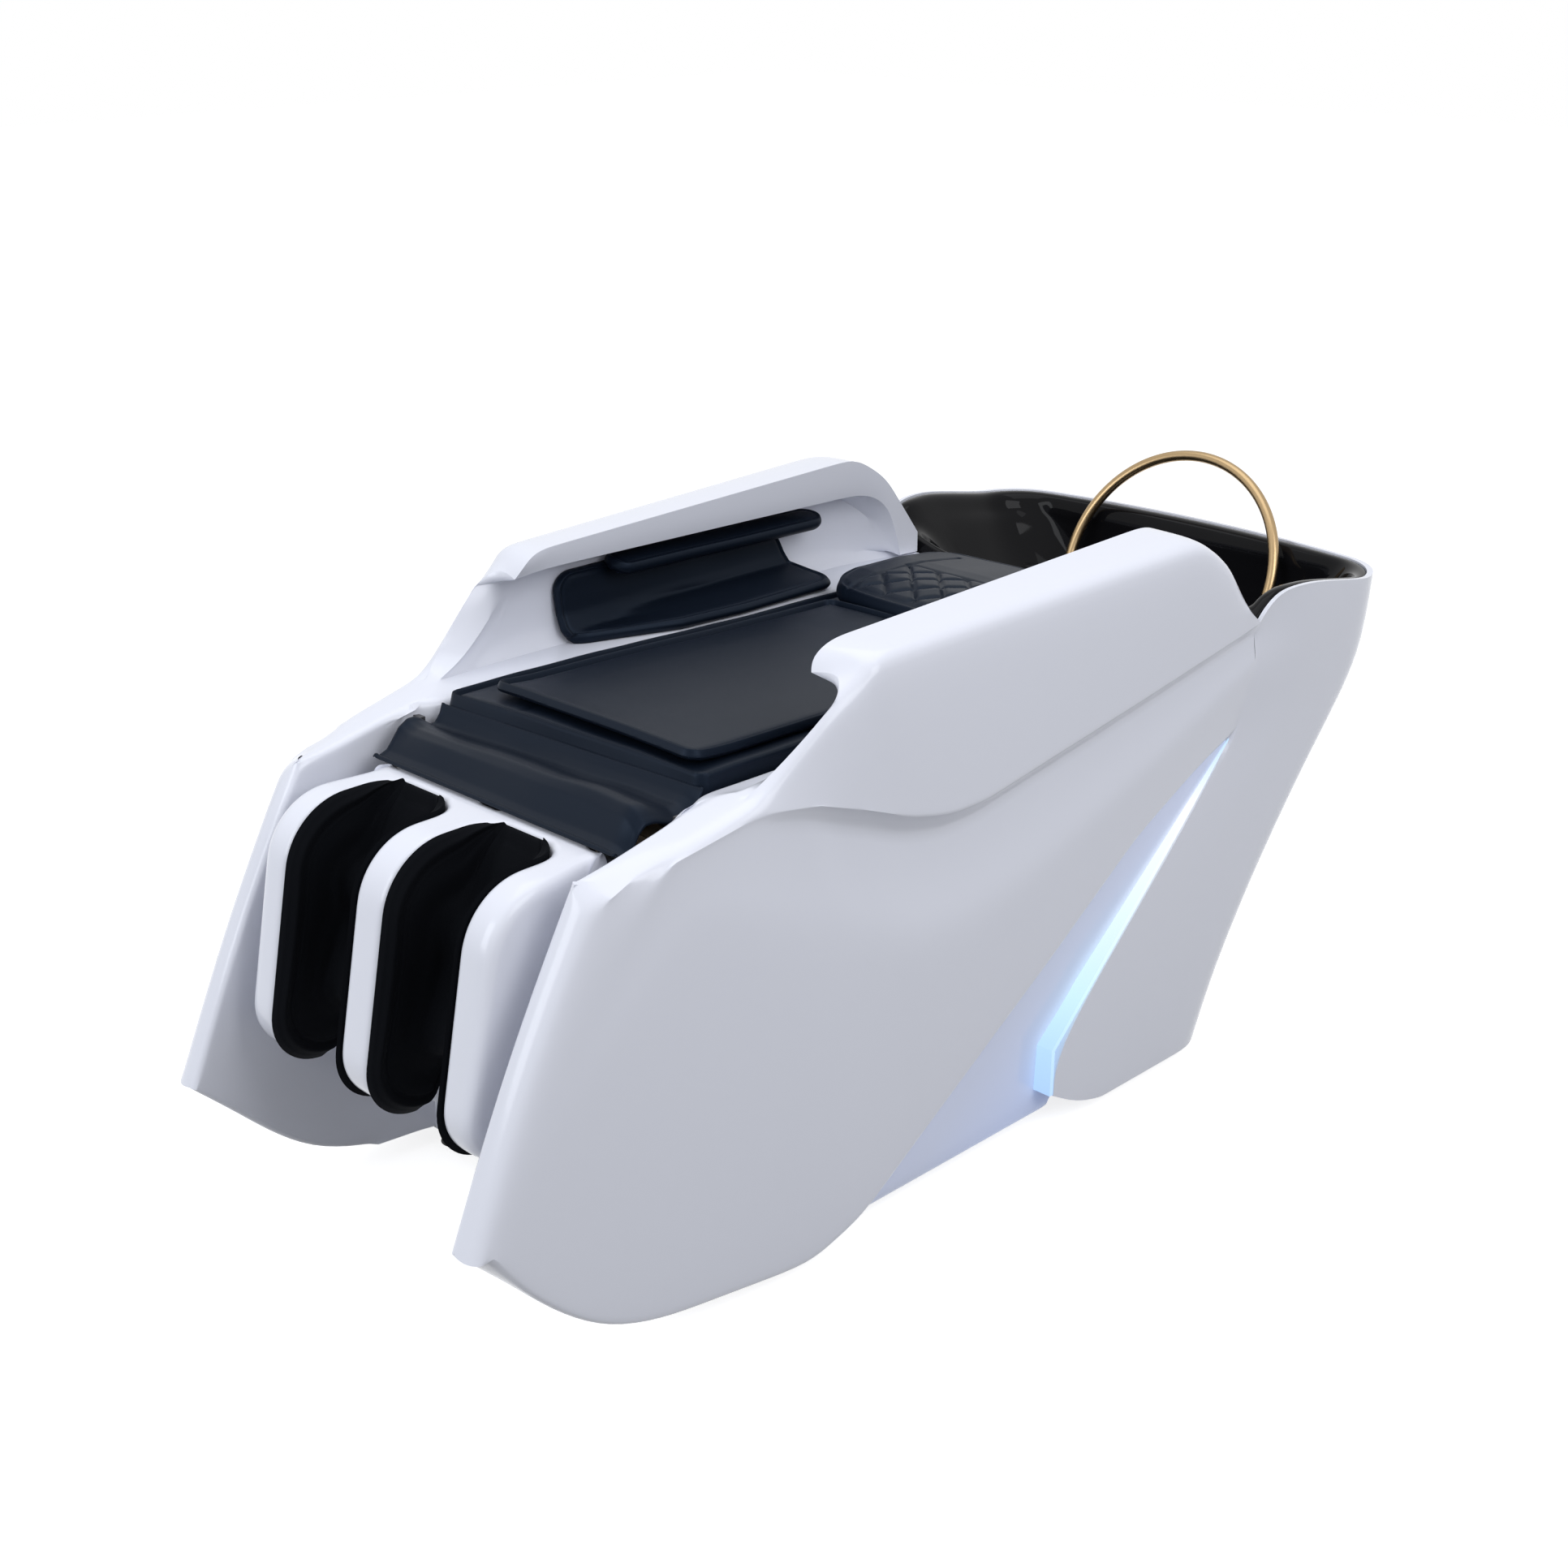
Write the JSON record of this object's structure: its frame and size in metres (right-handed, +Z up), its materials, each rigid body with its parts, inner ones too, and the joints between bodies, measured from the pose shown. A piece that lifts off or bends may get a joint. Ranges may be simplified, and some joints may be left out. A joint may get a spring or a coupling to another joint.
{
  "type": "head spa unit",
  "caption": "Lying-down head spa bed with white shells, padded black bed, twin-well lifting calf rest, black wash basin, swinging water arch and lit side strips.",
  "frame": {"origin": "on the floor under the middle of the overall box", "axes": "+Z up, +Y towards the basin (the head end), +X towards the left hand of the person lying on it"},
  "size_m": [0.8078, 1.8654, 0.8774],
  "materials": {
    "white_shell": "glossy white gel coat",
    "black_gloss": "glossy black",
    "black_leatherette": "soft matt leatherette",
    "black_fabric": "matt knitted fabric",
    "champagne_gold": "satin champagne gold",
    "light_diffuser": "lit pale blue diffuser",
    "chrome": "polished",
    "bright_screws": "bright",
    "brass": "machined",
    "copper_pipe": "drawn",
    "frame_paint": "black powder coat",
    "zinc_sheet": "zinc plated",
    "pump_casting": "painted",
    "grey_plastic": "matt",
    "black_plastic": "matt",
    "black_rubber": "matt",
    "roller_rubber": "matt",
    "plywood": "bare"
  },
  "bodies": {
    "bed": {"left_side_panel": "white_shell", "right_side_panel": "white_shell", "left_armrest": "white_shell", "right_armrest": "white_shell", "left_arm_deck": "white_shell", "right_arm_deck": "white_shell", "left_sill_panel": "white_shell", "right_sill_panel": "white_shell", "left_light_strip": "light_diffuser", "right_light_strip": "light_diffuser", "left_lower_arm_pad": "black_leatherette", "right_lower_arm_pad": "black_leatherette", "left_upper_arm_pad": "black_leatherette", "right_upper_arm_pad": "black_leatherette", "rear_housing": "white_shell", "service_panel": "white_shell", "front_cover": "white_shell", "service_screws": "bright_screws", "wash_basin": "black_gloss", "basin_drain": "chrome", "drain_trap": "grey_plastic", "arch_pivots": "champagne_gold", "pivot_nuts": "brass", "base_frame": "frame_paint", "levelling_feet": "black_rubber", "equipment_tray": "zinc_sheet", "circulation_pump": "pump_casting", "control_box": "grey_plastic", "power_inlet": "black_plastic", "air_pump": "grey_plastic", "mixing_valve": "brass", "supply_pipe": "copper_pipe", "seat_pan": "plywood", "seat_mattress": "black_leatherette", "back_mat": "black_leatherette", "head_pillow": "black_leatherette", "seat_apron": "black_leatherette", "hinge_shaft": "zinc_sheet", "hinge_brackets": "frame_paint", "actuator_barrel": "black_plastic", "actuator_gearbox": "black_plastic", "actuator_motor": "black_plastic", "guide_rails": "zinc_sheet", "guide_end_plates": "zinc_sheet", "drive_motor": "black_plastic"},
    "legrest": {"legrest_shell": "white_shell", "legrest_frame": "frame_paint", "left_leg_liner": "black_fabric", "right_leg_liner": "black_fabric", "hinge_bushes": "brass", "crank_pin": "zinc_sheet"},
    "lift_rod": {"actuator_rod": "zinc_sheet", "rod_yoke": "zinc_sheet"},
    "arch": {"water_arch": "champagne_gold", "arch_fittings": "champagne_gold"},
    "carriage": {"massage_carriage": "black_plastic"},
    "screw": {"lead_screw": "zinc_sheet"},
    "rollers": {"roller_axle": "zinc_sheet", "massage_rollers": "roller_rubber"}
  },
  "joints": [
    {"name": "legrest_lift", "type": "hinge", "parent": "bed", "child": "legrest", "pos_m": [0, -0.624, 0.622], "axis": [-1, 0, 0], "range_deg": [0, 70]},
    {"name": "rod_extend", "type": "slide", "parent": "bed", "child": "lift_rod", "axis": [0, -1, 0], "range_m": [0, 0.2182]},
    {"name": "arch_swing", "type": "hinge", "parent": "bed", "child": "arch", "pos_m": [0, 0.803, 0.597], "axis": [1, 0, 0], "range_deg": [0, 75]},
    {"name": "carriage_travel", "type": "slide", "parent": "bed", "child": "carriage", "axis": [0, 1, 0], "range_m": [-0.07, 0.22]},
    {"name": "screw_turn", "type": "hinge", "parent": "bed", "child": "screw", "pos_m": [0, 0, 0.575], "axis": [0, 1, 0], "range_deg": [-631, 1981]},
    {"name": "rollers_turn", "type": "hinge", "parent": "carriage", "child": "rollers", "pos_m": [0, 0.098, 0.592], "axis": [1, 0, 0], "continuous": true}
  ],
  "couplings": [
    {"joint": "rod_extend", "follows": "legrest_lift", "m_per_rad": 0.1784},
    {"joint": "screw_turn", "follows": "carriage_travel", "rad_per_m": 157.08}
  ]
}
